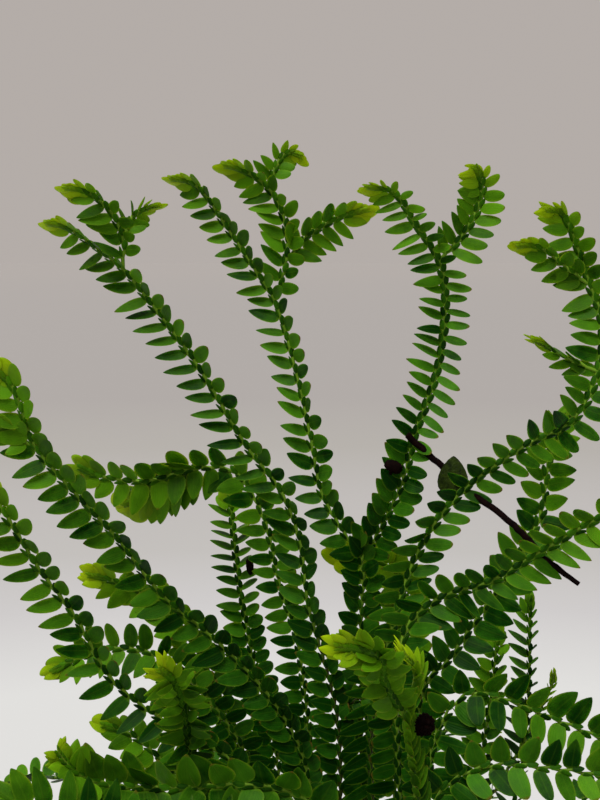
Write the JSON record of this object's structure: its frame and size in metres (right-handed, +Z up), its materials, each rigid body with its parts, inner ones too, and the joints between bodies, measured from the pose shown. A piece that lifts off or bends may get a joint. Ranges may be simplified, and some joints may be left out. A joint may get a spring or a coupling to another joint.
{
  "type": "potted spikemoss",
  "caption": "Spikemoss in a plain tapered clay pot: upright and arching stems with two rows of flat lapping leaflets, forking into crowded young tips, rooted in potting soil.",
  "frame": {"origin": "centre of the pot's flat underside", "axes": "+Z up, -Y towards the viewer of the picture, +X to the viewer's right"},
  "size_m": [0.131, 0.1202, 0.1805],
  "materials": {
    "leaf": "soft satin leaf green, yellower at the tips",
    "clay": "matte fired clay",
    "soil": "moist dark crumb"
  },
  "bodies": {
    "root": {"pot": "clay", "soil": "soil", "leafy_stem_01": "leaf", "leafy_stem_02": "leaf", "leafy_stem_03": "leaf", "leafy_stem_04": "leaf", "leafy_stem_05": "leaf", "leafy_stem_06": "leaf", "leafy_stem_07": "leaf", "leafy_stem_08": "leaf", "leafy_stem_09": "leaf", "leafy_stem_10": "leaf", "leafy_stem_11": "leaf", "leafy_stem_12": "leaf", "leafy_stem_13": "leaf", "leafy_stem_14": "leaf", "leafy_stem_15": "leaf", "leafy_stem_16": "leaf", "leafy_stem_17": "leaf", "leafy_stem_18": "leaf", "leafy_stem_19": "leaf", "leafy_stem_20": "leaf", "leafy_stem_21": "leaf", "leafy_stem_22": "leaf", "leafy_stem_23": "leaf", "leafy_stem_24": "leaf", "leafy_stem_25": "leaf", "leafy_stem_26": "leaf", "leafy_stem_27": "leaf", "leafy_stem_28": "leaf", "leafy_stem_29": "leaf", "leafy_stem_30": "leaf", "leafy_stem_31": "leaf", "leafy_stem_32": "leaf", "leafy_stem_33": "leaf", "leafy_stem_34": "leaf", "leafy_stem_35": "leaf", "leafy_stem_36": "leaf", "leafy_stem_37": "leaf", "leafy_stem_38": "leaf"}
  },
  "joints": []
}
